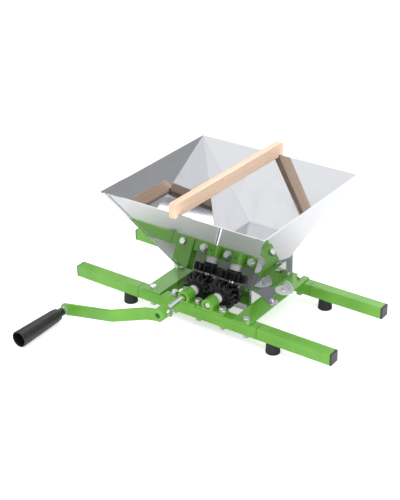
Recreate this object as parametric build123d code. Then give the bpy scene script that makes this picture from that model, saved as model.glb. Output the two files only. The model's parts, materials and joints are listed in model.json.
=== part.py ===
# Hand-cranked grape crusher: a steel frame that spans a tub, a sheet hopper and two geared rollers.
# Millimetres. X runs along the rails, Y from the crank side to the back, Z up.
# The origin is on the floor under the middle of the frame.
import os
from math import acos, atan, cos, degrees, hypot, pi, radians, sin, sqrt

from build123d import *

# ---- Frame -------------------------------------------------------------------------------------
tube_size = 25.0            # square tube of rails and arms
tube_wall = 1.5
rail_clear_width = 172.0    # clear between the front and rear rails
centre_length = 283.0       # middle section of each rail
arm_length = 159.0          # visible length of each plug-in arm
arm_seam = 1.0              # dark seam left between a centre section and its arm
neck_past_bolt = 15.0       # an arm's plug-in neck reaches this far past the cross bar's bolt
neck_gap = 0.1              # between the neck and the inside of the tube
tube_corner = 2.5           # outer corner radius of the tube
cap_thickness = 3.5
cap_plug_length = 16.0
foot_height = 22.5
foot_radius = 14.5
foot_top_radius = 13.0
foot_position = 172.0       # from the middle of the frame, along the rail
foot_recess_radius = 6.5
foot_recess_depth = 9.0
foot_screw_radius = 2.4
foot_screw_head_radius = 5.0
foot_screw_head_height = 3.2

# ---- Fasteners ---------------------------------------------------------------------------------
bolt_radius = 4.0           # M8
bolt_gap = 0.3              # radial clearance of a bolt in its hole
bolt_head_flats = 13.0
bolt_head_height = 5.3
nut_height = 6.5
washer_radius = 8.0
washer_thickness = 1.6
spring_washer_radius = 6.6
spring_washer_thickness = 1.7
spring_washer_slit = 1.2
bolt_tail = 3.0             # thread that stands out of a nut
screw_radius = 2.4          # M5
screw_head_radius = 4.4
screw_head_height = 3.0

# ---- Cross bars, steel angle --------------------------------------------------------------------
angle_width = 40.0
angle_drop = 20.0           # vertical leg below the rail top
angle_thickness = 3.0
angle_inner = 87.0          # inner face of the vertical leg, from the middle
angle_bolt_position = 112.0
angle_edge_round = 0.8

# ---- Rollers, shafts and gears -----------------------------------------------------------------
axis_spacing = 57.0         # between the two shafts
axis_rise = 13.0            # shaft axis above the rail top
shaft_radius = 6.0
running_gap = 0.04          # shaft in its bush
roller_radius = 27.0
flute_count = 10
flute_radius = 4.2
roller_end_gap = 1.5        # roller end to hopper wall
gear_teeth = 14
gear_width = 15.4
gear_backlash = 1.8         # taken off each tooth at the pitch circle
gear_addendum = 3.0
gear_root_radius = 20.8
gear_boss_radius = 14.5     # round boss on the front of a gear
gear_boss_length = 5.0
gear_bore_chamfer = 0.8
gear_panel_gap = 0.85       # tips of the gear to the sloping front panel
pressure_angle = 25.0
key_size = 4.0
gear_key_length = 10.0
roller_key_length = 40.0
ring_radius = 9.5
ring_thickness = 1.0
ring_gap = 0.3

# ---- Bearing blocks -----------------------------------------------------------------------------
eye_radius = 13.4
bush_radius = 10.4
eye_lip = 5.0               # thin front wall of a front eye
eye_mouth_radius = 7.4      # hole through that wall
bush_gap = 0.4              # bush to the gear's boss
block_foot_height = 5.2
block_foot_end = 65.5       # outer end of a foot, from the middle
block_seam = 0.5            # each block's inner end, from the middle
bearing_bolt_position = 57.0
block_depth = 22.0          # of a foot, across the rail
oil_hole_radius = 1.8
foot_slot_length = 4.0      # lets a block slide to set the roller gap

# ---- Hopper ------------------------------------------------------------------------------------
sheet = 1.0
throat_half_width = 85.8    # inside, along X
throat_front = -49.0        # inside face of the front wall
throat_back = 85.0
fold_rise = 27.0            # the fold where sloping panels become walls, above the shaft axis
rim_rise = 179.0            # rim above that fold
rim_half_width = 184.5
rim_front = -152.4
rim_back = 182.4
wall_drop = 24.5            # front and back walls reach this far below the shaft axis
corner_flange = 9.0         # side panel flange that laps the front and back panels
hem_thickness = 1.5
hem_height = 4.0
return_width = 6.0          # side return of the front wall
shaft_hole_radius = 8.5
cut_drop = 6.0              # a side wall's sloping cut starts this far below the fold
cut_end = -7.0              # and ends here, at the cross bar
tab_front_reach = 38.0      # each reach is measured out from the wall
tab_front_skew = -23.5      # the tab leans towards the front as it goes outwards
tab_nose_reach = 42.0
tab_nose_skew = -4.0
tab_back_reach = 38.0
tab_back_skew = 2.0
tab_waist_reach = 16.5      # the tab narrows here
tab_waist_start = 14.5
tab_waist_end = 26.0
tab_root_length = 41.0
tab_screw_reach = 26.2
tab_screw_skew = -2.7
clip_radius = 19.5          # of the half that lies flat
clip_upright_radius = 17.5
clip_flat_shift = 9.0       # from the fold line to the middle of the flat half
clip_turn = -23.6           # degrees, fold line of a clip to the X axis
clip_fold_reach = 29.8      # from the wall
clip_fold_y = 46.7
clip_screw_offset = 14.0    # from the fold line

# ---- Roller chutes and rear cover -----------------------------------------------------------------
chute_gap = 2.0             # chute to roller
chute_leg = 8.0
chute_edge_rise = 3.0       # lower edge above the shaft axis
chute_top_drop = 9.0        # bend below the fold
cover_thickness = 1.2
cover_half_width = 87.0
cover_rise = 9.5            # above the fold
cover_lip = 13.0
cover_lip_width = 14.0

# ---- Crank -------------------------------------------------------------------------------------
hub_radius = 13.5
hub_length = 27.0
hub_front = -194.0
shaft_recess = 6.0          # shaft end behind the hub's front face
arm_radius = 218.0
arm_width = 25.0
arm_thickness = 6.0
arm_edge_round = 1.2
arm_offset = 28.0           # how far the S bend carries the arm outwards
bend_start = 30.0           # from the hub axis
bend_end = 97.0
bend_radius = 30.0
set_bolt_from_back = 11.0
grip_length = 126.0
grip_radius = 17.0          # at the open end
grip_shoulder_radius = 12.5
neck_radius = 8.5
grip_neck_length = 11.0
grip_shoulder_length = 12.0
grip_wall = 2.2
grip_web = 26.0             # solid length at the neck end
grip_floor_gap = 0.3        # the crank rests with its grip just over the floor
grip_play = 0.3
spindle_gap = 0.25          # radial, grip on its spindle

# ---- Wooden bar ----------------------------------------------------------------------------------
bar_thickness = 15.0
bar_height = 28.5
bar_notch_depth = 4.5
bar_notch_width = 9.0
bar_front_overhang = 12.5
bar_back_overhang = 13.5
bar_turn = 1.4              # degrees, as it lies across the hopper
bar_offset = -4.0           # its middle, beside the middle of the hopper
bar_end_round = 6.0
bar_edge_round = 1.2
rest_gap = 0.3              # bar above the rim

# ---- Worked out from the sizes above -------------------------------------------------------------
rail_bottom = foot_height
rail_top = rail_bottom + tube_size
axis_height = rail_top + axis_rise
fold_height = axis_height + fold_rise
rim_height = fold_height + rim_rise
wall_bottom = axis_height - wall_drop
cover_top = fold_height + cover_rise
neck_start = angle_bolt_position - neck_past_bolt
side_level = sheet * hypot(rim_half_width - throat_half_width, rim_rise) / rim_rise
front_level = sheet * hypot(throat_front - rim_front, rim_rise) / rim_rise
back_level = sheet * hypot(rim_back - throat_back, rim_rise) / rim_rise
gear_tip_radius = axis_spacing / 2 + gear_addendum
panel_reach = max(0, axis_height + gear_tip_radius - fold_height) * (throat_front - rim_front) / rim_rise
gear_back = throat_front - front_level - panel_reach - gear_panel_gap
gear_front = gear_back - gear_width
boss_front = gear_front - gear_boss_length
shaft_x = axis_spacing / 2
rail_y = (rail_clear_width + tube_size) / 2
half_tube = tube_size / 2
angle_top = rail_top + angle_thickness
front_face = -rail_y - half_tube
outer_wall_x = throat_half_width + sheet
shaft_back = rail_y + block_depth / 2 - ring_gap / 2
hub_back = hub_front + hub_length
arm_drop_height = grip_radius + grip_floor_gap
arm_run = sqrt(arm_radius**2 - (axis_height - arm_drop_height)**2)
crank_angle = degrees(acos(arm_run / arm_radius))
grip_x = -shaft_x - arm_run
arm_end_front = hub_front - arm_offset
lock_nut_front = arm_end_front - washer_thickness - nut_height
grip_neck_y = lock_nut_front - grip_play
grip_end_y = grip_neck_y - grip_length
corners = [(sx, sy) for sx in (-1, 1) for sy in (-1, 1)]
cover_screw_places = [(side * (cover_half_width - cover_lip_width / 2), rail_y + half_tube - cover_lip / 2)
                      for side in (-1, 1)]


def block(x0, x1, y0, y1, z0, z1):
    """Box between two opposite corners."""
    centre = ((x0 + x1) / 2, (y0 + y1) / 2, (z0 + z1) / 2)
    return Pos(*centre) * Box(abs(x1 - x0), abs(y1 - y0), abs(z1 - z0))


def rod_z(radius, z0, z1, x=0.0, y=0.0):
    return Pos(x, y, (z0 + z1) / 2) * Cylinder(radius, abs(z1 - z0))


def rod_y(radius, y0, y1, x=0.0, z=0.0):
    return Pos(x, (y0 + y1) / 2, z) * Rot(90, 0, 0) * Cylinder(radius, abs(y1 - y0))


def rod_x(radius, x0, x1, y=0.0, z=0.0):
    return Pos((x0 + x1) / 2, y, z) * Rot(0, 90, 0) * Cylinder(radius, abs(x1 - x0))


def hexagon_z(flats, z0, z1, x=0.0, y=0.0):
    outline = RegularPolygon(flats / 2, 6, major_radius=False)
    return Pos(x, y, z0) * extrude(outline, z1 - z0)


def profile_y(points, y0, y1):
    """Prism along Y from an outline given as (x, z) points."""
    outline = make_face(Polyline([(x, y0, z) for x, z in points], close=True))
    return extrude(outline, y1 - y0, dir=(0, 1, 0))


def profile_x(points, x0, x1):
    """Prism along X from an outline given as (y, z) points."""
    outline = make_face(Polyline([(min(x0, x1), y, z) for y, z in points], close=True))
    return extrude(outline, abs(x1 - x0), dir=(1, 0, 0))


def profile_z(points, z0, z1):
    """Prism along Z from an outline given as (x, y) points."""
    outline = make_face(Polyline([(x, y, z0) for x, y in points], close=True))
    return extrude(outline, z1 - z0, dir=(0, 0, 1))


def turned_y(points, x, z):
    """Solid of revolution about a line along Y; points are (radius, y)."""
    outline = make_face(Polyline([(r, y, 0) for r, y in points], close=True))
    return Pos(x, 0, z) * revolve(outline, Axis.Y)


def ruled(lower, z0, upper, z1):
    """Solid between two outlines of (x, y) points at two heights."""
    bottom = make_face(Polyline([(x, y, z0) for x, y in lower], close=True))
    top = make_face(Polyline([(x, y, z1) for x, y in upper], close=True))
    return loft([bottom, top], ruled=True)


def save(name, *solids):
    shape = solids[0] if len(solids) == 1 else Compound(children=list(solids))
    export_step(shape, f"parts/{name}.step")


# ---- Frame pieces ---------------------------------------------------------------------------------
def square_tube(x0, x1, size, wall, corner):
    outer = block(x0, x1, -size / 2, size / 2, -size / 2, size / 2)
    outer = fillet(outer.edges().filter_by(Axis.X), corner)
    inner = block(x0 - 1, x1 + 1, -size / 2 + wall, size / 2 - wall, -size / 2 + wall, size / 2 - wall)
    return outer - inner


def bolt_holes(x_places, y):
    radius = bolt_radius + bolt_gap
    return [rod_z(radius, rail_bottom - 1, angle_top + 1, x, y) for x in x_places]


def centre_rail(side):
    y = side * rail_y
    height = rail_bottom + half_tube
    tube = square_tube(-centre_length / 2, centre_length / 2, tube_size, tube_wall, tube_corner)
    rail = Pos(0, y, height) * tube
    places = (-angle_bolt_position, -bearing_bolt_position, 0, bearing_bolt_position, angle_bolt_position)
    for hole in bolt_holes(places, y):
        rail -= hole
    if side > 0:
        for screw_x, screw_y in cover_screw_places:
            rail -= rod_z(screw_radius, rail_top - half_tube, rail_top + 1, screw_x, screw_y)
    return rail


def arm(side_x, side_y):
    """One plug-in arm; its slimmer neck is held by the cross bar's bolt."""
    start = centre_length / 2 + arm_seam
    neck_size = tube_size - 2 * tube_wall - 2 * neck_gap
    tube = square_tube(start, start + arm_length, tube_size, tube_wall, tube_corner)
    inside = tube_size - 2 * tube_wall
    neck = block(neck_start, start + neck_past_bolt, -neck_size / 2, neck_size / 2,
                 -neck_size / 2, neck_size / 2)
    neck += block(start, start + neck_past_bolt, -inside / 2, inside / 2, -inside / 2, inside / 2)
    hollow = neck_size / 2 - tube_wall
    neck -= block(neck_start - 1, start + neck_past_bolt + 1, -hollow, hollow, -hollow, hollow)
    body = Pos(0, side_y * rail_y, rail_bottom + half_tube) * (tube + neck)
    body -= rod_z(foot_screw_radius, 0, rail_bottom + half_tube, foot_position, side_y * rail_y)
    body -= bolt_holes((angle_bolt_position,), side_y * rail_y)[0]
    return mirror(body, Plane.YZ) if side_x < 0 else body


def end_cap(side_x, side_y):
    start = centre_length / 2 + arm_seam + arm_length
    plate = block(start, start + cap_thickness, -half_tube, half_tube, -half_tube, half_tube)
    plate = fillet(plate.edges().filter_by(Axis.X), tube_corner)
    plate = chamfer(plate.faces().sort_by(Axis.X)[-1].edges(), 0.8)
    inside = half_tube - tube_wall - neck_gap / 2
    plug = block(start - cap_plug_length, start, -inside, inside, -inside, inside)
    hollow = inside - tube_wall
    plug -= block(start - cap_plug_length - 1, start, -hollow, hollow, -hollow, hollow)
    cap = Pos(0, side_y * rail_y, rail_bottom + half_tube) * (plate + plug)
    return mirror(cap, Plane.YZ) if side_x < 0 else cap


def rubber_foot(side_x, side_y):
    foot = Cone(foot_radius, foot_top_radius, foot_height)
    foot = fillet(foot.edges().filter_by(GeomType.CIRCLE).sort_by(Axis.Z)[0], 1.5)
    foot = Pos(0, 0, foot_height / 2) * foot
    foot -= rod_z(foot_recess_radius, -1, foot_recess_depth)
    foot -= rod_z(foot_screw_radius, 0, foot_height + 1)
    return Pos(side_x * foot_position, side_y * rail_y, 0) * foot


def foot_screw(side_x, side_y):
    head_bottom = foot_recess_depth - foot_screw_head_height
    head = rod_z(foot_screw_head_radius, head_bottom, foot_recess_depth)
    head = fillet(head.faces().sort_by(Axis.Z)[0].edges(), 1.2)
    head -= rod_z(1.5, head_bottom - 1, head_bottom + 1.5)
    shank = rod_z(foot_screw_radius, foot_recess_depth, rail_bottom + tube_wall + 3)
    return Pos(side_x * foot_position, side_y * rail_y, 0) * (head + shank)


def cross_bar(side):
    """Steel angle that lies on both rails, with its leg between them."""
    overhang = rail_y + half_tube
    flange = block(angle_inner, angle_inner + angle_width, -overhang, overhang, rail_top, angle_top)
    leg_end = rail_y - half_tube - rest_gap
    leg = block(angle_inner, angle_inner + angle_thickness, -leg_end, leg_end, rail_top - angle_drop,
                rail_top)
    bar = flange + leg
    rim = bar.faces().sort_by(Axis.X)[-1].edges().filter_by(Axis.Y)
    bar = fillet(rim, angle_edge_round)
    for hole in bolt_holes((angle_bolt_position,), rail_y) + bolt_holes((angle_bolt_position,), -rail_y):
        bar -= hole
    if side < 0:
        bar = mirror(bar, Plane.YZ)
    for x, y in side_screw_places(side):
        bar -= rod_z(screw_radius, rail_top - 1, angle_top + 1, x, y)
    return bar


# ---- Fasteners -------------------------------------------------------------------------------------
def hex_bolt(x, y, seat, nut_seat):
    """Bolt with its head on one height and its nut's washer under another."""
    head_bottom = seat
    head = hexagon_z(bolt_head_flats, head_bottom, head_bottom + bolt_head_height)
    dome = Cone(bolt_head_flats, bolt_head_flats / 2 - 0.3, bolt_head_height)
    dome = Pos(0, 0, head_bottom + bolt_head_height / 2) * dome
    tail = nut_seat - washer_thickness - nut_height - bolt_tail
    shank = rod_z(bolt_radius, tail, head_bottom)
    shank = chamfer(shank.faces().sort_by(Axis.Z)[0].edges(), 0.7)
    return Pos(x, y, 0) * ((head & dome) + shank)


def ring_z(outer, inner, z0, z1, x, y):
    return rod_z(outer, z0, z1, x, y) - rod_z(inner, z0 - 1, z1 + 1, x, y)


def hex_nut(x, y, top):
    nut = hexagon_z(bolt_head_flats, top - nut_height, top, x, y)
    return nut - rod_z(bolt_radius, top - nut_height - 1, top + 1, x, y)


def washer(x, y, bottom):
    return ring_z(washer_radius, bolt_radius + bolt_gap, bottom, bottom + washer_thickness, x, y)


def spring_washer(x, y, bottom):
    """Split ring between a bolt's head and its plain washer."""
    top = bottom + spring_washer_thickness
    ring = ring_z(spring_washer_radius, bolt_radius + bolt_gap, bottom, top, x, y)
    half = spring_washer_slit / 2
    return ring - block(x - half, x + half, y - spring_washer_radius - 1, y, bottom - 1, top + 1)


def fastener_set(places, seat, under_head=0.0):
    """Bolts, nuts and the nuts' washers; under_head is the height of what lies under a bolt's head."""
    bolts = [hex_bolt(x, y, seat + under_head, rail_bottom) for x, y in places]
    nuts = [hex_nut(x, y, rail_bottom - washer_thickness) for x, y in places]
    washers = [washer(x, y, rail_bottom - washer_thickness) for x, y in places]
    return bolts, nuts, washers


# ---- Bearing blocks and bushes --------------------------------------------------------------------
def bearing_block(side_x, side_y):
    """Eye with two feet; the outer foot has a slot, the inner one half a slot."""
    foot_top = rail_top + block_foot_height
    y0 = rail_y - block_depth / 2
    y1 = rail_y + half_tube if side_y < 0 else rail_y + block_depth / 2
    foot = block(block_seam, block_foot_end, y0, y1, rail_top, foot_top)
    foot = fillet(foot.edges().filter_by(Axis.Z), 3)
    body = foot + rod_y(eye_radius, y0, y1, shaft_x, axis_height)
    body -= block(block_seam - 1, block_foot_end, y0 - 1, y1 + 1, rail_top - eye_radius, rail_top)
    seat_end = y1 - eye_lip if side_y < 0 else y1 + 1
    body -= rod_y(bush_radius, y0 - 1, seat_end, shaft_x, axis_height)
    body -= rod_y(eye_mouth_radius, y0, y1 + 1, shaft_x, axis_height)
    body -= oil_hole(rail_y)
    hole = bolt_radius + bolt_gap
    for reach in (bearing_bolt_position, 0):
        body -= rod_z(hole, rail_top - 1, foot_top + 1, reach - foot_slot_length / 2, rail_y)
        body -= rod_z(hole, rail_top - 1, foot_top + 1, reach + foot_slot_length / 2, rail_y)
        body -= block(reach - foot_slot_length / 2, reach + foot_slot_length / 2, rail_y - hole,
                      rail_y + hole, rail_top - 1, foot_top + 1)
    if side_y < 0:
        body = mirror(body, Plane.XZ)
    return mirror(body, Plane.YZ) if side_x < 0 else body


def oil_hole(y):
    return rod_z(oil_hole_radius, axis_height + shaft_radius, axis_height + eye_radius + 1, shaft_x, y)


def bush(side_x, y0, y1, hole_y):
    body = rod_y(bush_radius, y0, y1, side_x * shaft_x, axis_height)
    hole = oil_hole(hole_y)
    body -= mirror(hole, Plane.YZ) if side_x < 0 else hole
    return body - rod_y(shaft_radius + running_gap, y0 - 1, y1 + 1, side_x * shaft_x, axis_height)


def front_bush(side_x):
    """Nylon bush pressed in from behind, long enough to reach the gear's boss."""
    return bush(side_x, front_face + eye_lip, boss_front - bush_gap, -rail_y)


def rear_bush(side_x):
    end = rail_y + block_depth / 2 - ring_thickness - ring_gap - 1
    return bush(side_x, rail_y - block_depth / 2, end, rail_y)


# ---- Shafts, rollers, gears ----------------------------------------------------------------------
def key_box(x, y0, length):
    """Key half in the shaft and half in what it drives."""
    return block(x - key_size / 2, x + key_size / 2, y0, y0 + length,
                 axis_height + shaft_radius - key_size / 2, axis_height + shaft_radius + key_size / 2)


def gear_key(x):
    return key_box(x, gear_front + (gear_width - gear_key_length) / 2, gear_key_length)


def roller_key(x):
    middle = (throat_front + throat_back) / 2
    return key_box(x, middle - roller_key_length / 2, roller_key_length)


def shaft(x, front_end):
    bar = rod_y(shaft_radius, front_end, shaft_back, x, axis_height)
    bar = chamfer(bar.edges().filter_by(GeomType.CIRCLE), 0.8)
    return bar - gear_key(x) - roller_key(x)


def roller(x):
    """Fluted roller with round-bottomed grooves along its length."""
    y0 = throat_front + roller_end_gap
    y1 = throat_back - roller_end_gap
    body = rod_y(roller_radius, y0, y1, x, axis_height)
    for i in range(flute_count):
        angle = 2 * pi * (i + 0.5) / flute_count
        flute_x = x + roller_radius * cos(angle)
        flute_z = axis_height + roller_radius * sin(angle)
        body -= rod_y(flute_radius, y0 - 1, y1 + 1, flute_x, flute_z)
    body -= rod_y(shaft_radius, y0 - 1, y1 + 1, x, axis_height)
    return body - roller_key(x)


def involute_point(base, radius):
    """Polar angle of an involute at a radius, counted from where it leaves its base circle."""
    roll = sqrt(max((radius / base)**2 - 1, 0))
    return roll - atan(roll)


def gear_outline(phase):
    """Long-toothed spur gear about the origin; phase 0 puts a tooth on +X."""
    pitch = axis_spacing / 2
    base = pitch * cos(radians(pressure_angle))
    half_pitch_angle = (pi * pitch / gear_teeth - gear_backlash) / 2 / pitch
    flank_angle = half_pitch_angle + involute_point(base, pitch)
    steps = 5
    radii = [base + (gear_tip_radius - base) * i / steps for i in range(steps + 1)]
    points = []
    for tooth in range(gear_teeth):
        middle = phase + 2 * pi * tooth / gear_teeth
        rise = [(r, middle - flank_angle + involute_point(base, r)) for r in radii]
        fall = [(r, 2 * middle - a) for r, a in reversed(rise)]
        root = [(gear_root_radius, middle - flank_angle * 1.25)]
        root_back = [(gear_root_radius, middle + flank_angle * 1.25)]
        points += root + rise + fall + root_back
    return [(r * cos(a), r * sin(a)) for r, a in points]


def gear(x, phase):
    teeth = profile_y(gear_outline(phase), gear_front, gear_back)
    body = Pos(x, 0, axis_height) * teeth
    body += rod_y(gear_boss_radius, boss_front, gear_front, x, axis_height)
    body -= rod_y(shaft_radius, boss_front - 1, gear_back + 1, x, axis_height)
    bore = [e for e in body.edges().filter_by(GeomType.CIRCLE) if abs(e.radius - shaft_radius) < bolt_gap]
    body = chamfer(ShapeList(bore).sort_by(Axis.Y)[0], gear_bore_chamfer)
    return body - gear_key(x)


def retaining_ring(x):
    y1 = shaft_back - ring_gap
    ring = rod_y(ring_radius, y1 - ring_thickness, y1, x, axis_height)
    return ring - rod_y(shaft_radius, y1 - 3, y1 + 3, x, axis_height)


# ---- Crank ----------------------------------------------------------------------------------------
def in_crank(piece):
    """Turn a piece made with the arm along -X and the axis at the origin to its rest place."""
    return Pos(-shaft_x, 0, axis_height) * Rot(0, -crank_angle, 0) * piece


def crank_arm():
    """Hub with a flat bar welded to its front end; the bar has an S bend."""
    back = hub_front + arm_thickness
    route = [(0, hub_front), (-bend_start, hub_front), (-bend_end, hub_front - arm_offset),
             (-arm_radius, hub_front - arm_offset)]
    line = FilletPolyline(*[(x, y + arm_thickness / 2, 0) for x, y in route], radius=bend_radius)
    start_plane = Plane(line @ 0, x_dir=(0, 0, 1), z_dir=line % 0)
    section = start_plane * RectangleRounded(arm_width, arm_thickness, arm_edge_round)
    bar = sweep(section, path=line)
    end = rod_y(arm_width / 2, arm_end_front, arm_end_front + arm_thickness, -arm_radius, 0)
    bar += fillet(end.edges().filter_by(GeomType.CIRCLE), arm_edge_round)
    hub = rod_y(hub_radius, hub_front, hub_back)
    hub = chamfer(hub.edges().filter_by(GeomType.CIRCLE), 0.8)
    body = hub + bar
    body -= rod_y(shaft_radius + running_gap, hub_front - 1, hub_back + 1)
    body -= rod_y(bolt_radius, arm_end_front - 1, back + 1, -arm_radius, 0)
    body -= rod_x(bolt_radius, shaft_radius - 1, hub_radius + 1, hub_back - set_bolt_from_back, 0)
    return in_crank(body)


def set_bolt():
    """Hexagon bolt screwed through the hub on to the shaft."""
    y = hub_back - set_bolt_from_back
    seat = hub_radius + 1.0
    head = Rot(0, 90, 0) * hexagon_z(bolt_head_flats, seat, seat + bolt_head_height)
    return in_crank(Pos(0, y, 0) * head + rod_x(bolt_radius, shaft_radius + running_gap, seat, y, 0))


def spindle():
    """Bolt on which the grip turns, with its head inside the hollow grip."""
    head_back = grip_neck_y - grip_web - grip_play
    head = Rot(-90, 0, 0) * hexagon_z(bolt_head_flats, head_back - bolt_head_height, head_back)
    tail = arm_end_front + arm_thickness + washer_thickness + nut_height + bolt_tail
    shank = rod_y(bolt_radius, head_back, tail)
    return in_crank(Pos(-arm_radius, 0, 0) * (head + shank))


def spindle_hardware():
    """Lock nut and washer each side of the arm's end."""
    front = [(arm_end_front - washer_thickness, arm_end_front),
             (lock_nut_front, arm_end_front - washer_thickness)]
    back_face = arm_end_front + arm_thickness
    back = [(back_face, back_face + washer_thickness),
            (back_face + washer_thickness, back_face + washer_thickness + nut_height)]
    pieces = []
    for y0, y1 in (front[0], back[0]):
        ring = rod_y(washer_radius, y0, y1) - rod_y(bolt_radius, y0 - 1, y1 + 1)
        pieces.append(ring)
    for y0, y1 in (front[1], back[1]):
        nut = Rot(-90, 0, 0) * hexagon_z(bolt_head_flats, y0, y1) - rod_y(bolt_radius, y0 - 1, y1 + 1)
        pieces.append(nut)
    return [in_crank(Pos(-arm_radius, 0, 0) * piece) for piece in pieces]


def grip():
    """Hollow tapered handle, open at its outer end."""
    shoulder_y = grip_neck_y - grip_neck_length
    body_y = shoulder_y - grip_shoulder_length
    bore = bolt_radius + spindle_gap
    web_y = grip_neck_y - grip_web
    hollow_start = grip_shoulder_radius - grip_wall - 1
    points = [(bore, grip_neck_y), (neck_radius, grip_neck_y), (neck_radius, shoulder_y),
              (grip_shoulder_radius, shoulder_y - 2), (grip_shoulder_radius + 1.5, body_y),
              (grip_radius, grip_end_y), (grip_radius - grip_wall, grip_end_y), (hollow_start, web_y),
              (bore, web_y)]
    return turned_y(points, grip_x, arm_drop_height)


# ---- Hopper ---------------------------------------------------------------------------------------
def strip_across(half_width, y0, y1):
    return [(-half_width, y0), (half_width, y0), (half_width, y1), (-half_width, y1)]


def end_panel(front):
    """Front or back: a sloping panel that folds into an upright wall with two shaft holes."""
    sign = -1 if front else 1
    level = front_level if front else back_level
    low = throat_front if front else throat_back
    high = rim_front if front else rim_back
    panel = ruled(strip_across(throat_half_width, low, low + sign * level), fold_height,
                  strip_across(rim_half_width, high, high + sign * level), rim_height)
    rise = (high - low) / (rim_height - fold_height)
    hem_low = rim_height - hem_height
    hem_at = high - rise * hem_height + sign * level
    half_high = rim_half_width - corner_flange - hem_height
    panel += ruled(strip_across(half_high, hem_at, hem_at + sign * hem_thickness), hem_low,
                   strip_across(half_high, high + sign * level, high + sign * (level + hem_thickness)),
                   rim_height)
    half_wall = outer_wall_x if front else throat_half_width
    wall = block(-half_wall, half_wall, low, low + sign * sheet, wall_bottom, fold_height)
    if front:
        for side in (-1, 1):
            wall += block(side * throat_half_width, side * outer_wall_x, low - sheet, low + return_width,
                          rail_top, fold_height)
    for x in (-shaft_x, shaft_x):
        wall -= rod_y(shaft_hole_radius, low - 2, low + 2, x, axis_height)
    return panel + wall


def side_outline(half_width, front, back):
    """Level section of a side panel with its lapping corner flanges."""
    inner = half_width - corner_flange
    outer = half_width + side_level
    return [(half_width, front - front_level), (inner, front - front_level),
            (inner, front - 2 * front_level), (outer, front - 2 * front_level),
            (outer, back + 2 * back_level), (inner, back + 2 * back_level),
            (inner, back + back_level), (half_width, back + back_level)]


def across_throat(x, y):
    """The matching place on the other side: the two side walls are half a turn apart."""
    return -x, throat_front + throat_back - y


def tab_outline(side):
    """Foot of a side wall, bent outwards on to the cross bar."""
    shape = [(-sheet, 0), (0, 0), (tab_front_reach, tab_front_skew), (tab_nose_reach, tab_nose_skew),
             (tab_back_reach, tab_back_skew), (tab_waist_reach, tab_waist_start),
             (tab_waist_reach, tab_waist_end), (0, tab_root_length), (-sheet, tab_root_length)]
    points = [(outer_wall_x + reach, cut_end + skew) for reach, skew in shape]
    return points if side > 0 else [across_throat(x, y) for x, y in points]


def wall_outline(side):
    """Side wall as (y, z) points, with one lower corner cut away on a slope."""
    start = throat_front + return_width
    cut_top = fold_height - cut_drop
    if side > 0:
        return [(start, fold_height), (start, cut_top), (cut_end, angle_top), (throat_back, angle_top),
                (throat_back, fold_height)]
    far_cut = across_throat(0, cut_end)[1]
    return [(start, fold_height), (start, angle_top), (far_cut, angle_top), (throat_back, cut_top),
            (throat_back, fold_height)]


def side_panel(side):
    """Side: a sloping panel, an upright wall with a sloping cut, and a foot tab."""
    panel = ruled(side_outline(throat_half_width, throat_front, throat_back), fold_height,
                  side_outline(rim_half_width, rim_front, rim_back), rim_height)
    rise = (rim_half_width - throat_half_width) / (rim_height - fold_height)
    outer = rim_half_width + side_level
    hem_low = outer - rise * hem_height
    y0 = rim_front - 2 * front_level
    y1 = rim_back + 2 * back_level
    panel += ruled([(hem_low, y0), (hem_low + hem_thickness, y0), (hem_low + hem_thickness, y1),
                    (hem_low, y1)], rim_height - hem_height,
                   [(outer, y0), (outer + hem_thickness, y0), (outer + hem_thickness, y1), (outer, y1)],
                   rim_height)
    if side < 0:
        panel = mirror(panel, Plane.YZ)
    panel += profile_x(wall_outline(side), side * throat_half_width, side * outer_wall_x)
    panel += profile_z(tab_outline(side), angle_top, angle_top + sheet)
    screw_x, screw_y = side_screw_places(side)[0]
    return panel - rod_z(screw_radius, angle_top - 1, angle_top + 2, screw_x, screw_y)


def side_screw_places(side):
    """Screws through the cross bar: one for the wall's tab and one for the clip."""
    tab_screw = (outer_wall_x + tab_screw_reach, cut_end + tab_screw_skew)
    angle = radians(clip_turn)
    clip_screw = (outer_wall_x + clip_fold_reach + clip_screw_offset * sin(angle),
                  clip_fold_y - clip_screw_offset * cos(angle))
    places = [tab_screw, clip_screw]
    return places if side > 0 else [across_throat(x, y) for x, y in places]


def clip(side):
    """Round sheet clip folded across: one part lies on the cross bar, the other stands up."""
    flat = rod_z(clip_radius, 0, sheet, 0, -clip_flat_shift)
    flat &= block(-clip_radius, clip_radius, -2 * clip_radius - clip_flat_shift, 0, 0, sheet)
    flat -= rod_z(screw_radius, -1, 2, 0, -clip_screw_offset)
    disc = rod_z(clip_upright_radius, 0, sheet)
    upright = Rot(90, 0, 0) * (disc & block(-clip_upright_radius, clip_upright_radius, 0,
                                            clip_upright_radius, 0, sheet))
    body = Rot(0, 0, clip_turn) * (flat + upright)
    x, y = outer_wall_x + clip_fold_reach, clip_fold_y
    if side > 0:
        return Pos(x, y, angle_top) * body
    return Pos(*across_throat(x, y), angle_top) * Rot(0, 0, 180) * body


def pan_screw(x, y, seat):
    head = rod_z(screw_head_radius, seat, seat + screw_head_height)
    head = fillet(head.faces().sort_by(Axis.Z)[-1].edges(), 1.4)
    head -= rod_z(1.4, seat + screw_head_height - 1.4, seat + screw_head_height + 1)
    return Pos(x, y, 0) * (head + rod_z(screw_radius, rail_top - 1.5, seat))


def chute(side):
    """Bent sheet between a side wall and its roller."""
    wall_x = throat_half_width
    bend_z = fold_height - chute_top_drop
    edge_x = shaft_x + roller_radius + chute_gap
    edge_z = axis_height + chute_edge_rise
    points = [(wall_x, bend_z + chute_leg), (wall_x - sheet, bend_z + chute_leg), (wall_x - sheet, bend_z),
              (edge_x, edge_z), (edge_x, edge_z - sheet), (wall_x, bend_z - sheet)]
    body = profile_y(points, throat_front + rest_gap, throat_back - rest_gap)
    return mirror(body, Plane.YZ) if side < 0 else body


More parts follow.
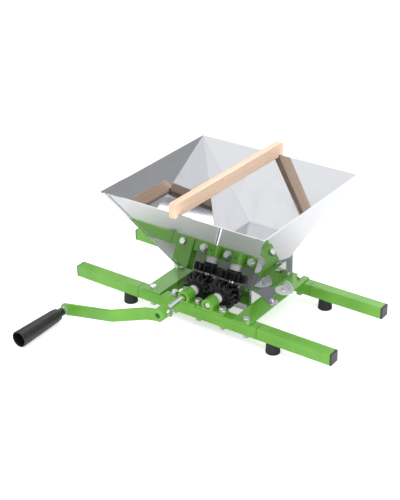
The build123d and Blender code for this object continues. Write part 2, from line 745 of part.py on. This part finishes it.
def rear_cover():
    """Upright sheet on the back edge of the rear rail, over the rear bearings."""
    back = rail_y + half_tube
    front = back - cover_thickness
    upright = block(-cover_half_width, cover_half_width, front, back, rail_top, cover_top)
    slope = (rim_back - throat_back) / (rim_height - fold_height)
    panel_y = throat_back + (cover_top - fold_height) * slope + back_level
    top_half = cover_half_width - corner_flange
    top = block(-top_half, top_half, panel_y + rest_gap, back,
                cover_top - cover_thickness, cover_top)
    cover = upright + top
    for side in (-1, 1):
        outer = side * (cover_half_width - rest_gap)
        inner = outer - side * cover_lip_width
        cover += block(inner, outer, back - cover_lip, back, rail_top, rail_top + cover_thickness)
    for x, y in cover_screw_places:
        cover -= rod_z(screw_radius, rail_top - 1, rail_top + 2, x, y)
    return cover


def wooden_bar():
    """Bar laid across the hopper, notched where it sits on the rim."""
    y0 = rim_front - bar_front_overhang
    y1 = rim_back + bar_back_overhang
    bottom = rim_height + rest_gap - bar_notch_depth
    bar = block(-bar_thickness / 2, bar_thickness / 2, y0, y1, bottom, bottom + bar_height)
    top_ends = bar.edges().filter_by(Axis.X).group_by(Axis.Z)[-1]
    bar = fillet(top_ends, bar_end_round)
    bar = fillet(bar.edges().filter_by(Axis.Y), bar_edge_round)
    half = bar_notch_width / 2
    for rim in (rim_front - front_level, rim_back + back_level):
        bar -= block(-bar_thickness, bar_thickness, rim - half, rim + half, bottom - 1,
                     rim_height + rest_gap)
    middle = (rim_front + rim_back) / 2
    return Pos(bar_offset, middle, 0) * Rot(0, 0, -bar_turn) * Pos(0, -middle, 0) * bar


def build_frame():
    save("front_rail", centre_rail(-1))
    save("rear_rail", centre_rail(1))
    names = {(-1, -1): "arm_front_left", (1, -1): "arm_front_right", (-1, 1): "arm_rear_left",
             (1, 1): "arm_rear_right"}
    for side, name in names.items():
        save(name, arm(*side))
    save("end_caps", *[end_cap(*side) for side in corners])
    save("rubber_feet", *[rubber_foot(*side) for side in corners])
    save("foot_screws", *[foot_screw(*side) for side in corners])
    save("left_cross_bar", cross_bar(-1))
    save("right_cross_bar", cross_bar(1))
    bolts, nuts, washers = fastener_set([(x * angle_bolt_position, y * rail_y) for x, y in corners],
                                        angle_top)
    save("cross_bar_bolts", *bolts)
    save("cross_bar_nuts", *nuts)
    save("cross_bar_washers", *washers)


def build_bearings():
    names = {(-1, -1): "bearing_front_left", (1, -1): "bearing_front_right",
             (-1, 1): "bearing_rear_left", (1, 1): "bearing_rear_right"}
    for side, name in names.items():
        save(name, bearing_block(*side))
    places = [(x * bearing_bolt_position, y * rail_y) for x in (-1, 0, 1) for y in (-1, 1)]
    seat = rail_top + block_foot_height
    bolts, nuts, washers = fastener_set(places, seat, washer_thickness + spring_washer_thickness)
    washers += [washer(x, y, seat) for x, y in places]
    save("bearing_bolts", *bolts)
    save("bearing_nuts", *nuts)
    save("bearing_washers", *washers)
    save("spring_washers", *[spring_washer(x, y, seat + washer_thickness) for x, y in places])
    save("front_bushes", *[front_bush(side) for side in (-1, 1)])
    save("rear_bushes", *[rear_bush(side) for side in (-1, 1)])


def build_rollers():
    save("drive_shaft", shaft(-shaft_x, hub_front + shaft_recess))
    save("idler_shaft", shaft(shaft_x, front_face + 1.5))
    tooth = 2 * pi / gear_teeth
    meshing = tooth / 2 if gear_teeth % 2 == 0 else 0
    for x, name, phase in ((-shaft_x, "drive", 0), (shaft_x, "idler", meshing)):
        save(f"{name}_roller", roller(x))
        save(f"{name}_gear", gear(x, phase))
        save(f"{name}_keys", gear_key(x), roller_key(x))
        save(f"{name}_ring", retaining_ring(x))


def build_crank():
    save("crank_arm", crank_arm())
    save("crank_set_bolt", set_bolt())
    save("grip_spindle", spindle())
    save("spindle_nuts", *spindle_hardware())
    save("crank_grip", grip())


def build_hopper():
    save("hopper_front", end_panel(True))
    save("hopper_back", end_panel(False))
    for side, name in ((-1, "left"), (1, "right")):
        save(f"hopper_{name}", side_panel(side))
        save(f"{name}_clip", clip(side))
        save(f"{name}_chute", chute(side))
    screws = [pan_screw(x, y, angle_top + sheet) for side in (-1, 1) for x, y in side_screw_places(side)]
    save("hopper_screws", *screws)
    save("rear_cover", rear_cover())
    save("cover_screws", *[pan_screw(x, y, rail_top + cover_thickness) for x, y in cover_screw_places])
    save("wooden_bar", wooden_bar())


os.makedirs("parts", exist_ok=True)
build_frame()
build_bearings()
build_rollers()
build_crank()
build_hopper()
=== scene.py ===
import json
from math import cos, pi, radians, sin

import bmesh
import bpy
from mathutils import Matrix, Vector


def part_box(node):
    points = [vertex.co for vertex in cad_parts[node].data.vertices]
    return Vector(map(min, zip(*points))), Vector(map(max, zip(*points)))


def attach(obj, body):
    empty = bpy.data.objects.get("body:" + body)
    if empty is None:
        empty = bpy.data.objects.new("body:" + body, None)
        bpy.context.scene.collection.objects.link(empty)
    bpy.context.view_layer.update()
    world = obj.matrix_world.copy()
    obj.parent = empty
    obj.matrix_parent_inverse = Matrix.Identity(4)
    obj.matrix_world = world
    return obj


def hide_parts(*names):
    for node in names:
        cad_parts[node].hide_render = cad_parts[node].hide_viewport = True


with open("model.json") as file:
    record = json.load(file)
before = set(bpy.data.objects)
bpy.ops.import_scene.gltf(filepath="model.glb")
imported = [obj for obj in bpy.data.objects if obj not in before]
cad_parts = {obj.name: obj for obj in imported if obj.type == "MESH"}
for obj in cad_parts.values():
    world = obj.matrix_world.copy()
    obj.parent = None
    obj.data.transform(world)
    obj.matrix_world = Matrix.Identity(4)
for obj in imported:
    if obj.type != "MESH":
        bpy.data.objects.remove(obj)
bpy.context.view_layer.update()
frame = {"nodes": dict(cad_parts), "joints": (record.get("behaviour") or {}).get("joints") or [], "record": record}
nodes = frame["nodes"]
joints = {joint["name"]: joint for joint in frame["joints"]}
print("frame loaded with", len(nodes), "parts")


# shader helpers
class Wire:
    # a socket that takes part in plain Python sums
    def __init__(self, shader, socket):
        self.shader, self.socket = shader, socket

    def maths(self, operation, *others, first=None):
        values = [self, *others] if first is None else [first, self]
        return self.shader.node("Math", {"operation": operation}, dict(enumerate(values)))

    def __add__(self, other):
        return self.maths("ADD", other)

    __radd__ = __add__

    def __mul__(self, other):
        return self.maths("MULTIPLY", other)

    __rmul__ = __mul__

    def __sub__(self, other):
        return self.maths("SUBTRACT", other)

    def __rsub__(self, other):
        return self.maths("SUBTRACT", first=other)


class Shader:
    def __init__(self, name):
        self.material = bpy.data.materials.new(name)
        self.material.use_nodes = True
        self.tree = self.material.node_tree
        self.tree.nodes.clear()
        self.surface = self.tree.nodes.new("ShaderNodeBsdfPrincipled")
        output = self.tree.nodes.new("ShaderNodeOutputMaterial")
        self.tree.links.new(self.surface.outputs[0], output.inputs["Surface"])
        self.place = self.node("TexCoord", output="Object")

    def fill(self, node, inputs):
        for key, value in (inputs or {}).items():
            if isinstance(value, Wire):
                self.tree.links.new(value.socket, node.inputs[key])
            else:
                node.inputs[key].default_value = value

    def node(self, kind, settings=None, inputs=None, output=0):
        made = self.tree.nodes.new("ShaderNode" + kind)
        for key, value in (settings or {}).items():
            setattr(made, key, value)
        self.fill(made, inputs)
        return Wire(self, made.outputs[output])

    def noise(self, scale, detail=3.0, roughness=0.55, stretch=(1, 1, 1), distortion=0.0):
        spot = self.node("Mapping", None, {"Vector": self.place, "Scale": stretch})
        sockets = {"Vector": spot, "Scale": scale, "Detail": detail, "Roughness": roughness,
                   "Distortion": distortion}
        return self.node("TexNoise", None, sockets)

    def range(self, value, low, high):
        return self.node("MapRange", {"clamp": True}, {0: value, 1: low, 2: high})

    def blend(self, factor, first, second):
        sockets = {0: factor, 6: (*first, 1) if isinstance(first, tuple) else first,
                   7: (*second, 1) if isinstance(second, tuple) else second}
        return self.node("Mix", {"data_type": "RGBA"}, sockets, output=2)

    def softEdge(self, radius):
        return self.node("Bevel", {"samples": 4}, {"Radius": radius})

    def bump(self, height, distance, strength=1.0, under=None):
        sockets = {"Height": height, "Distance": distance, "Strength": strength}
        if under:
            sockets["Normal"] = under
        return self.node("Bump", None, sockets)

    def finish(self, **sockets):
        names = {"colour": "Base Color", "metal": "Metallic", "rough": "Roughness", "normal": "Normal",
                 "coat": "Coat Weight", "coatRough": "Coat Roughness", "ior": "IOR",
                 "specular": "Specular IOR Level", "glow": "Emission Color", "glowPower": "Emission Strength"}
        for key, value in sockets.items():
            if isinstance(value, tuple):
                value = (*value, 1)
            self.fill(self.surface, {names[key]: value})
        return self.material


# materials
def makePaint():
    paint = {"colour": (0.135, 0.4, 0.026), "deep": (0.1, 0.325, 0.016), "pale": (0.21, 0.5, 0.065),
             "rough": 0.3, "coat": 0.35, "peel": 0.00005, "edge": 0.0007}
    s = Shader("applePaint")
    cloud = s.noise(14, 4)
    dust = s.range(s.noise(55, 6, 0.7), 0.56, 0.78)
    colour = s.blend(s.range(cloud, 0.35, 0.65), paint["colour"], paint["deep"])
    colour = s.blend(dust * 0.3, colour, paint["pale"])
    rough = paint["rough"] + dust * 0.16 + cloud * 0.05
    peel = s.bump(s.noise(1100, 2, 0.4), paint["peel"], 0.5, under=s.softEdge(paint["edge"]))
    runs = s.bump(s.noise(160, 3, 0.5), paint["peel"] * 2.5, 0.5, under=peel)
    return s.finish(colour=colour, metal=0.0, rough=rough, normal=runs, coat=paint["coat"], coatRough=0.1,
                    ior=1.5)


def makePolishedSheet():
    sheet = {"colour": (0.56, 0.565, 0.58), "smear": (0.46, 0.465, 0.48), "rough": 0.04, "wave": 0.0005}
    s = Shader("polishedSteel")
    smear = s.range(s.noise(9, 5, 0.6, distortion=0.6), 0.5, 0.75)
    grain = s.noise(90, 3, 0.6, stretch=(1, 1, 26))
    colour = s.blend(smear * 0.5, sheet["colour"], sheet["smear"])
    rough = sheet["rough"] + smear * 0.05 + s.range(grain, 0.55, 0.8) * 0.04
    wave = s.bump(s.noise(5, 1, 0.4), sheet["wave"], 0.6)
    scratch = s.bump(s.noise(700, 2, 0.5, stretch=(1, 1, 0.03)), 0.000004, 0.4, under=wave)
    return s.finish(colour=colour, metal=1.0, rough=rough, normal=scratch)


def makeSatinSheet():
    sheet = {"colour": (0.84, 0.845, 0.86), "dull": (0.7, 0.705, 0.725), "rough": 0.34}
    s = Shader("satinSteel")
    grain = s.noise(700, 3, 0.6, stretch=(0.03, 1, 1))
    stain = s.range(s.noise(70, 4, 0.6), 0.5, 0.75)
    colour = s.blend(stain * 0.6, sheet["colour"], sheet["dull"])
    rough = sheet["rough"] + grain * 0.12 + stain * 0.08
    return s.finish(colour=colour, metal=0.45, rough=rough + 0.1, normal=s.bump(grain, 0.000012, 0.5))


def makeZinc():
    zinc = {"colour": (0.72, 0.725, 0.74), "dull": (0.5, 0.51, 0.54), "rough": 0.22, "edge": 0.0004}
    s = Shader("brightZinc")
    spangle = s.node("TexVoronoi", {"feature": "F1"}, {"Vector": s.place, "Scale": 420.0}, output="Color")
    tone = s.node("SeparateColor", None, {0: spangle})
    stain = s.range(s.noise(240, 4, 0.6), 0.5, 0.72)
    colour = s.blend(stain * 0.6, zinc["colour"], zinc["dull"])
    rough = zinc["rough"] + tone * 0.12 + stain * 0.12
    grit = s.bump(s.noise(1500, 2), 0.00003, 0.5, under=s.softEdge(zinc["edge"]))
    return s.finish(colour=colour, metal=1.0, rough=rough, normal=grit)


def makeGroundBar():
    bar = {"colour": (0.85, 0.85, 0.86), "rough": 0.05}
    s = Shader("groundBar")
    lines = s.noise(1400, 3, 0.6, stretch=(0.02, 1, 0.02))
    film = s.range(s.noise(60, 4), 0.5, 0.75)
    rough = bar["rough"] + lines * 0.05 + film * 0.05
    return s.finish(colour=bar["colour"], metal=1.0, rough=rough, normal=s.bump(lines, 0.000006, 0.5))


def makeRollerMetal():
    roll = {"colour": (0.5, 0.51, 0.53), "dull": (0.33, 0.34, 0.36), "rough": 0.3, "edge": 0.0006}
    s = Shader("rollerMetal")
    lines = s.noise(900, 3, 0.6, stretch=(1, 0.02, 1))
    stain = s.range(s.noise(38, 5, 0.6), 0.5, 0.75)
    colour = s.blend(stain * 0.6, roll["colour"], roll["dull"])
    rough = roll["rough"] + lines * 0.12 + stain * 0.12
    drawn = s.bump(lines, 0.00001, 0.5, under=s.softEdge(roll["edge"]))
    return s.finish(colour=colour, metal=1.0, rough=rough, normal=drawn)


def makeGearIron():
    iron = {"colour": (0.02, 0.02, 0.022), "worn": (0.1, 0.097, 0.093), "rough": 0.27, "edge": 0.0006}
    s = Shader("oiledIron")
    grains = s.noise(520, 4, 0.65)
    worn = s.range(s.noise(120, 5, 0.6), 0.5, 0.7)
    colour = s.blend(worn * 0.7, iron["colour"], iron["worn"])
    rough = iron["rough"] + grains * 0.2 - worn * 0.08
    cast = s.bump(grains, 0.0001, 0.5, under=s.softEdge(iron["edge"]))
    return s.finish(colour=colour, metal=0.3, rough=rough, normal=cast)


def makeNylon():
    nylon = {"colour": (0.78, 0.78, 0.76), "dull": (0.66, 0.665, 0.65), "rough": 0.3}
    s = Shader("whiteNylon")
    mottle = s.noise(120, 3)
    colour = s.blend(mottle, nylon["colour"], nylon["dull"])
    turned = s.noise(900, 2, 0.5, stretch=(0.05, 1, 0.05))
    return s.finish(colour=colour, rough=nylon["rough"] + mottle * 0.15, normal=s.bump(turned, 0.00003, 0.5))


def makeRubber():
    rubber = {"colour": (0.012, 0.012, 0.013), "bloom": (0.035, 0.035, 0.036), "rough": 0.6}
    s = Shader("blackRubber")
    bloom = s.range(s.noise(90, 5, 0.6), 0.45, 0.75)
    colour = s.blend(bloom * 0.6, rubber["colour"], rubber["bloom"])
    rough = rubber["rough"] + bloom * 0.2
    return s.finish(colour=colour, rough=rough, normal=s.bump(s.noise(800, 3), 0.00008, 0.5))


def makeCapPlastic():
    cap = {"colour": (0.02, 0.02, 0.021), "scuffed": (0.045, 0.045, 0.047), "rough": 0.38}
    s = Shader("capPlastic")
    scuff = s.range(s.noise(260, 5, 0.65), 0.45, 0.75)
    colour = s.blend(scuff * 0.6, cap["colour"], cap["scuffed"])
    rough = cap["rough"] + scuff * 0.2
    return s.finish(colour=colour, rough=rough, normal=s.bump(s.noise(1300, 2), 0.00005, 0.5))


def makeGripPlastic():
    handle = {"colour": (0.008, 0.008, 0.009), "rubbed": (0.022, 0.022, 0.024), "rough": 0.3}
    s = Shader("gripPlastic")
    spark = s.noise(1500, 2, 0.6)
    rub = s.range(s.noise(45, 4, 0.6), 0.45, 0.75)
    colour = s.blend(rub * 0.6, handle["colour"], handle["rubbed"])
    rough = handle["rough"] + rub * 0.18 + spark * 0.06
    return s.finish(colour=colour, rough=rough, normal=s.bump(spark, 0.00004, 0.5))


def makeBeech():
    wood = {"pale": (0.88, 0.67, 0.51), "dark": (0.7, 0.46, 0.3), "fleck": (0.48, 0.29, 0.18)}
    s = Shader("planedBeech")
    rings = s.noise(28, 4, 0.55, stretch=(1, 0.045, 1), distortion=0.4)
    fibres = s.noise(240, 4, 0.6, stretch=(1, 0.02, 1))
    flecks = s.range(s.noise(620, 1, 0.4, stretch=(1, 0.13, 1)), 0.67, 0.74)
    colour = s.blend(s.range(rings, 0.35, 0.68), wood["pale"], wood["dark"])
    colour = s.blend(s.range(fibres, 0.45, 0.7) * 0.5, colour, wood["dark"])
    colour = s.blend(flecks * 0.55, colour, wood["fleck"])
    pores = s.bump(fibres, 0.00012, 0.6)
    return s.finish(colour=colour, rough=0.52 + fibres * 0.18, normal=pores)


def makeFloor():
    # bright when seen directly; glossy rays meet a greyer floor without its glow, a painted shade for reflections,
    # with a painted shadow greyest near the middle
    ground = {"colour": (0.93, 0.93, 0.93), "cloudy": (0.9, 0.9, 0.9), "mirroredShadowNear": (0.6, 0.595, 0.59),
              "mirroredFar": (1.0, 1.0, 1.0), "near": 0.13, "far": 0.3, "rough": 0.75, "glowPower": 0.5}
    s = Shader("paleFloor")
    mirrored = s.node("LightPath", output="Is Glossy Ray")
    cloud = s.noise(1.5, 3)
    colour = s.blend(cloud, ground["colour"], ground["cloudy"])
    distance = s.node("VectorMath", {"operation": "LENGTH"}, {0: s.place}, output="Value")
    # painted shadow: in reflections the floor is greyest near the middle and lightens outwards, standing in for
    # shade under the object
    shadowFade = s.range(distance, ground["near"], ground["far"])
    colour = s.blend(mirrored, colour, s.blend(shadowFade, ground["mirroredShadowNear"], ground["mirroredFar"]))
    glow = s.blend(mirrored, (1.0, 1.0, 1.0), (0.0, 0.0, 0.0))
    return s.finish(colour=colour, rough=ground["rough"] + cloud * 0.1, specular=0.1, glow=glow,
                    glowPower=ground["glowPower"])


finishes = {"frame_paint": makePaint(), "hopper_steel": makePolishedSheet(), "zinc_fasteners": makeZinc(),
            "shaft_steel": makeGroundBar(), "roller_metal": makeRollerMetal(), "gear_iron": makeGearIron(),
            "bush_nylon": makeNylon(), "foot_rubber": makeRubber(), "cap_plastic": makeCapPlastic(),
            "grip_plastic": makeGripPlastic(), "bar_wood": makeBeech(), "clip_steel": makeSatinSheet()}
floorFinish = makeFloor()
print("materials made")


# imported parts: their finish, crisp folds and smooth round faces
def dressPart(name, slotName):
    shading = {"merge": 0.000002, "fold": 31, "weight": 80}
    part = nodes[name]
    part.data.materials.clear()
    part.data.materials.append(finishes[slotName])
    for face in part.data.polygons:
        face.use_smooth = True
    weld = part.modifiers.new("weld", "WELD")
    weld.merge_threshold = shading["merge"]
    split = part.modifiers.new("crispFolds", "EDGE_SPLIT")
    split.split_angle = radians(shading["fold"])
    split.use_edge_sharp = False
    even = part.modifiers.new("evenShading", "WEIGHTED_NORMAL")
    even.mode = "FACE_AREA"
    even.weight = shading["weight"]


for entry in frame["record"]["subparts"]:
    dressPart(entry["node"], entry["material_slot"])
print("packed parts dressed")


# new pieces
def addPiece(name, shape, slotName, body):
    mesh = bpy.data.meshes.new(name)
    bmesh.ops.recalc_face_normals(shape, faces=shape.faces)
    shape.to_mesh(mesh)
    shape.free()
    for face in mesh.polygons:
        face.use_smooth = True
    mesh.materials.append(finishes[slotName])
    piece = bpy.data.objects.new(name, mesh)
    bpy.context.scene.collection.objects.link(piece)
    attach(piece, body)
    return piece


def makeGrip():
    # spun handle: rounded shoulder, long taper, thin open mouth
    grip = {"neck": 0.0085, "neckLength": 0.011, "shoulder": 0.0124, "mouth": 0.0168, "wall": 0.0023,
            "floor": 0.100, "bore": 0.0043, "steps": 64, "round": 0.0009, "lead": 0.003, "flare": 0.0014,
            "flareLength": 0.012, "rimAngle": 24, "foldAngle": 50}
    low, high = (Vector(corner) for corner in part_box("crank_grip"))
    axis = Vector(((low.x + high.x) / 2, 0, (low.z + high.z) / 2))
    end, start = low.y, high.y
    neckEnd = start - grip["neckLength"]
    outline = [(grip["bore"], start), (grip["neck"], start), (grip["neck"], neckEnd),
               (grip["shoulder"], neckEnd - grip["lead"]),
               (grip["shoulder"] + grip["flare"], neckEnd - grip["flareLength"]),
               (grip["mouth"], end + grip["lead"]), (grip["mouth"], end), (grip["mouth"] - grip["wall"], end),
               (grip["shoulder"] - grip["wall"], end + grip["floor"]), (grip["bore"], end + grip["floor"])]
    shape = bmesh.new()
    points = [shape.verts.new(axis + Vector((radius, y, 0))) for radius, y in outline]
    edges = [shape.edges.new(pair) for pair in zip(points, points[1:] + points[:1])]
    bmesh.ops.spin(shape, geom=points + edges, cent=axis, axis=(0, 1, 0), angle=2 * pi,
                   steps=grip["steps"], use_merge=True, use_duplicate=False)
    bmesh.ops.remove_doubles(shape, verts=shape.verts, dist=0.000001)
    rims = [edge for edge in shape.edges if len(edge.link_faces) == 2
            and edge.calc_face_angle(0) > radians(grip["rimAngle"])
            and abs(edge.verts[0].co.y - edge.verts[1].co.y) < 1e-6]
    bmesh.ops.bevel(shape, geom=rims, offset=grip["round"], offset_type="OFFSET", segments=3, profile=0.5,
                    affect="EDGES", material=-1, clamp_overlap=True)
    piece = addPiece("gripShell", shape, "grip_plastic", "grip")
    split = piece.modifiers.new("crispFolds", "EDGE_SPLIT")
    split.split_angle = radians(grip["foldAngle"])
    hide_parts("crank_grip")


def makeBead(name, start, end, body):
    # weld bead: a thin round strip with the ripples of its runs
    bead = {"thickness": 0.0015, "ripple": 0.00028, "pitch": 0.0024, "sides": 12, "ringsPerRipple": 4,
            "waver": 0.1, "waverRate": 417, "tip": 0.45, "taper": 1.2}
    thickness, pitch = bead["thickness"], bead["pitch"]
    start, end = Vector(start), Vector(end)
    length = (end - start).length
    rings = max(8, round(length / pitch) * bead["ringsPerRipple"])
    shape = bmesh.new()
    bmesh.ops.create_circle(shape, cap_ends=True, segments=bead["sides"], radius=thickness)
    face = shape.faces[:]
    for step in range(rings):
        made = bmesh.ops.extrude_face_region(shape, geom=face)["geom"]
        if step:
            bmesh.ops.delete(shape, geom=face, context="FACES_ONLY")
        verts = [part for part in made if isinstance(part, bmesh.types.BMVert)]
        face = [part for part in made if isinstance(part, bmesh.types.BMFace)]
        bmesh.ops.translate(shape, verts=verts, vec=(0, 0, length / rings))
    bmesh.ops.remove_doubles(shape, verts=shape.verts, dist=0.0000001)
    for vert in shape.verts:
        swell = 1 + bead["ripple"] / thickness * sin(2 * pi * vert.co.z / pitch)
        swell += bead["waver"] * sin(bead["waverRate"] * vert.co.z)
        taper = min(1, bead["tip"] + min(vert.co.z, length - vert.co.z) / (thickness * bead["taper"]))
        vert.co.x *= swell * taper
        vert.co.y *= swell * taper
    turn = (end - start).to_track_quat("Z", "Y").to_matrix().to_4x4()
    bmesh.ops.transform(shape, matrix=Matrix.Translation(start) @ turn, verts=shape.verts)
    addPiece(name, shape, "frame_paint", body)


def makeWelds():
    # beads along the feet of the four bearing eyes
    eye = {"radius": 0.0134, "inset": 0.0015, "footHeight": 0.0052}
    for joint, side in (("crank_turn", "left"), ("idler_turn", "right")):
        axle = Vector(joints[joint]["pos_m"])
        for row in ("front", "rear"):
            low, high = (Vector(corner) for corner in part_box(f"bearing_{row}_{side}"))
            footTop = low.z + eye["footHeight"]
            half = (eye["radius"]**2 - (axle.z - footTop)**2)**0.5
            for edge in (-1, 1):
                x = axle.x + edge * half
                makeBead(f"weld_{row}_{side}_{'in' if edge * axle.x < 0 else 'out'}",
                         (x, low.y + eye["inset"], footTop), (x, high.y - eye["inset"], footTop), "frame")


makeGrip()
makeWelds()
print("grip and welds made")


# floor, light and camera
def makeStage():
    stage = {"size": 14.0}
    mesh = bpy.data.meshes.new("floor")
    shape = bmesh.new()
    bmesh.ops.create_grid(shape, x_segments=1, y_segments=1, size=stage["size"] / 2)
    shape.to_mesh(mesh)
    shape.free()
    floor = bpy.data.objects.new("floor", mesh)
    mesh.materials.append(floorFinish)
    bpy.context.scene.collection.objects.link(floor)


def makeLamp(name, place, target, size, power):
    lamp = bpy.data.lights.new(name, "AREA")
    lamp.shape, lamp.size, lamp.size_y, lamp.energy = "RECTANGLE", size[0], size[1], power
    holder = bpy.data.objects.new(name, lamp)
    bpy.context.scene.collection.objects.link(holder)
    aim = Vector(target) - Vector(place)
    holder.matrix_world = Matrix.Translation(place) @ aim.to_track_quat("-Z", "Y").to_matrix().to_4x4()


def makeLight():
    sky = {"colour": (0.62, 0.63, 0.65, 1), "power": 0.85}
    lamps = {
        "topSoftbox": {"place": (-0.3, -0.3, 2.8), "target": (0, 0, 0), "size": (4.4, 4.4), "power": 84},
        "frontSoftbox": {"place": (-1.8, -2.4, 1.2), "target": (0, 0, 0.15), "size": (2.5, 2.3), "power": 15},
        "backSoftbox": {"place": (-0.95, 2.3, 1.5), "target": (0, 0, 0.1), "size": (2.0, 1.8), "power": 13},
        "sideSoftbox": {"place": (2.4, -0.6, 1.6), "target": (0, 0, 0.1), "size": (1.6, 1.8), "power": 36}}
    world = bpy.data.worlds.new("studio")
    bpy.context.scene.world = world
    world.use_nodes = True
    back = world.node_tree.nodes["Background"]
    back.inputs[0].default_value = sky["colour"]
    back.inputs[1].default_value = sky["power"]
    for name, lamp in lamps.items():
        makeLamp(name, **lamp)


def makeCamera():
    # where the camera stands, and the three directions of its picture
    view = {"place": (1.1599, -1.6877, 1.2190), "turn": 35.996, "tilt": 28.087, "roll": -1.139, "lens": 83.99,
            "sensor": 36, "near": 0.05, "far": 60}
    turn, tilt, roll = radians(view["turn"]), radians(view["tilt"]), radians(view["roll"])
    back = Vector((sin(turn) * cos(tilt), -cos(turn) * cos(tilt), sin(tilt)))
    side = (-back).cross(Vector((0, 0, 1))).normalized()
    up = side.cross(-back)
    right = cos(roll) * side + sin(roll) * up
    top = cos(roll) * up - sin(roll) * side
    lens = bpy.data.cameras.new("view")
    lens.sensor_fit, lens.sensor_height, lens.lens = "VERTICAL", view["sensor"], view["lens"]
    lens.clip_start, lens.clip_end = view["near"], view["far"]
    camera = bpy.data.objects.new("view", lens)
    bpy.context.scene.collection.objects.link(camera)
    turned = Matrix((right, top, back)).transposed().to_4x4()
    camera.matrix_world = Matrix.Translation(view["place"]) @ turned
    bpy.context.scene.camera = camera


makeStage()
makeLight()
makeCamera()
bpy.context.scene.view_settings.view_transform = "Standard"
print("floor, light and camera set")
